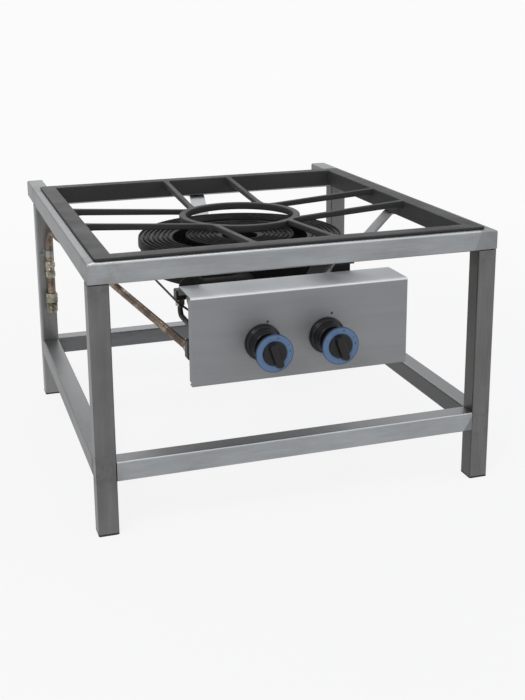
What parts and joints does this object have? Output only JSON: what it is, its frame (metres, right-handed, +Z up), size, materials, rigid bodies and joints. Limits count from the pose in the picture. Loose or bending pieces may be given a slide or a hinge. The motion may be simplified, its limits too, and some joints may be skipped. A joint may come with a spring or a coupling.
{
  "type": "stock pot range",
  "caption": "Low floor-standing gas stock pot range: square tube stand, dished cast-iron pan grid with a centre ring, ribbed double-ring burner and a hung panel with turn knobs.",
  "frame": {"origin": "on the floor, under the middle of the overall bounding box (knob fronts to wall spacer ends)", "axes": "+Z up, front with the control panel towards -Y, +X to the right of someone facing the front"},
  "size_m": [0.62, 0.76, 0.404],
  "materials": {
    "stainless": "satin",
    "panel_steel": "satin",
    "iron": "rough",
    "burner_iron": "rough",
    "black_plastic": "satin",
    "plug_plastic": "matte",
    "dial_blue": "satin",
    "brass": "machined",
    "copper": "drawn",
    "zinc_steel": "plated",
    "dark_steel": "satin"
  },
  "bodies": {
    "stand": {"burner_arm_back": "stainless", "burner_arm_front": "stainless", "burner_arm_left": "stainless", "burner_arm_right": "stainless", "burner_body": "burner_iron", "burner_bolts": "zinc_steel", "control_panel": "panel_steel", "feed_tube_inner": "dark_steel", "feed_tube_outer": "dark_steel", "gas_inlet": "brass", "gas_tap_left": "brass", "gas_tap_right": "brass", "injector_holder_inner": "brass", "injector_holder_outer": "brass", "injector_inner": "brass", "injector_outer": "brass", "inlet_nut": "brass", "inlet_tube": "copper", "knob_bezel_left": "black_plastic", "knob_bezel_right": "black_plastic", "leg_back_left": "stainless", "leg_back_right": "stainless", "leg_front_left": "stainless", "leg_front_right": "stainless", "manifold": "zinc_steel", "manifold_cap": "zinc_steel", "manifold_elbow": "brass", "mixing_tube_inner": "burner_iron", "mixing_tube_outer": "burner_iron", "panel_hanger_left": "stainless", "panel_hanger_right": "stainless", "panel_screws": "zinc_steel", "pipe_clip": "zinc_steel", "pipe_nuts": "brass", "pipe_union": "brass", "rail_back": "stainless", "rail_front": "stainless", "rail_left": "stainless", "rail_right": "stainless", "stretcher_back": "stainless", "stretcher_front": "stainless", "stretcher_left": "stainless", "stretcher_right": "stainless", "supply_pipe": "copper", "thermocouple_inner": "copper", "thermocouple_outer": "copper", "tube_plugs": "plug_plastic"},
    "pan_grid": {"pan_grid": "iron"},
    "outer_crown": {"outer_crown": "burner_iron"},
    "inner_crown": {"inner_crown": "burner_iron"},
    "push_left": {"tap_push_pin_left": "zinc_steel"},
    "knob_left": {"knob_left": "black_plastic", "knob_dial_left": "dial_blue", "tap_spindle_left": "zinc_steel"},
    "push_right": {"tap_push_pin_right": "zinc_steel"},
    "knob_right": {"knob_right": "black_plastic", "knob_dial_right": "dial_blue", "tap_spindle_right": "zinc_steel"},
    "shutter_outer": {"air_shutter_outer": "zinc_steel"},
    "shutter_inner": {"air_shutter_inner": "zinc_steel"}
  },
  "joints": [
    {"name": "pan_grid_lift", "type": "slide", "parent": "stand", "child": "pan_grid", "axis": [0, 0, 1], "range_m": [0, 0.06]},
    {"name": "outer_crown_lift", "type": "slide", "parent": "stand", "child": "outer_crown", "axis": [0, 0, 1], "range_m": [0, 0.012]},
    {"name": "inner_crown_lift", "type": "slide", "parent": "stand", "child": "inner_crown", "axis": [0, 0, 1], "range_m": [0, 0.012]},
    {"name": "knob_push_left", "type": "slide", "parent": "stand", "child": "push_left", "axis": [0, 1, 0], "range_m": [0, 0.004], "stiffness_N_per_m": 1500, "springref_m": -0.003},
    {"name": "knob_turn_left", "type": "hinge", "parent": "push_left", "child": "knob_left", "pos_m": [-0.061, -0.34, 0.263], "axis": [0, -1, 0], "range_deg": [0, 180]},
    {"name": "knob_push_right", "type": "slide", "parent": "stand", "child": "push_right", "axis": [0, 1, 0], "range_m": [0, 0.004], "stiffness_N_per_m": 1500, "springref_m": -0.003},
    {"name": "knob_turn_right", "type": "hinge", "parent": "push_right", "child": "knob_right", "pos_m": [0.0375, -0.34, 0.263], "axis": [0, -1, 0], "range_deg": [0, 180]},
    {"name": "shutter_slide_outer", "type": "slide", "parent": "stand", "child": "shutter_outer", "axis": [-1, 0, 0], "range_m": [-0.0055, 0.004]},
    {"name": "shutter_slide_inner", "type": "slide", "parent": "stand", "child": "shutter_inner", "axis": [1, 0, 0], "range_m": [-0.0055, 0.004]}
  ]
}
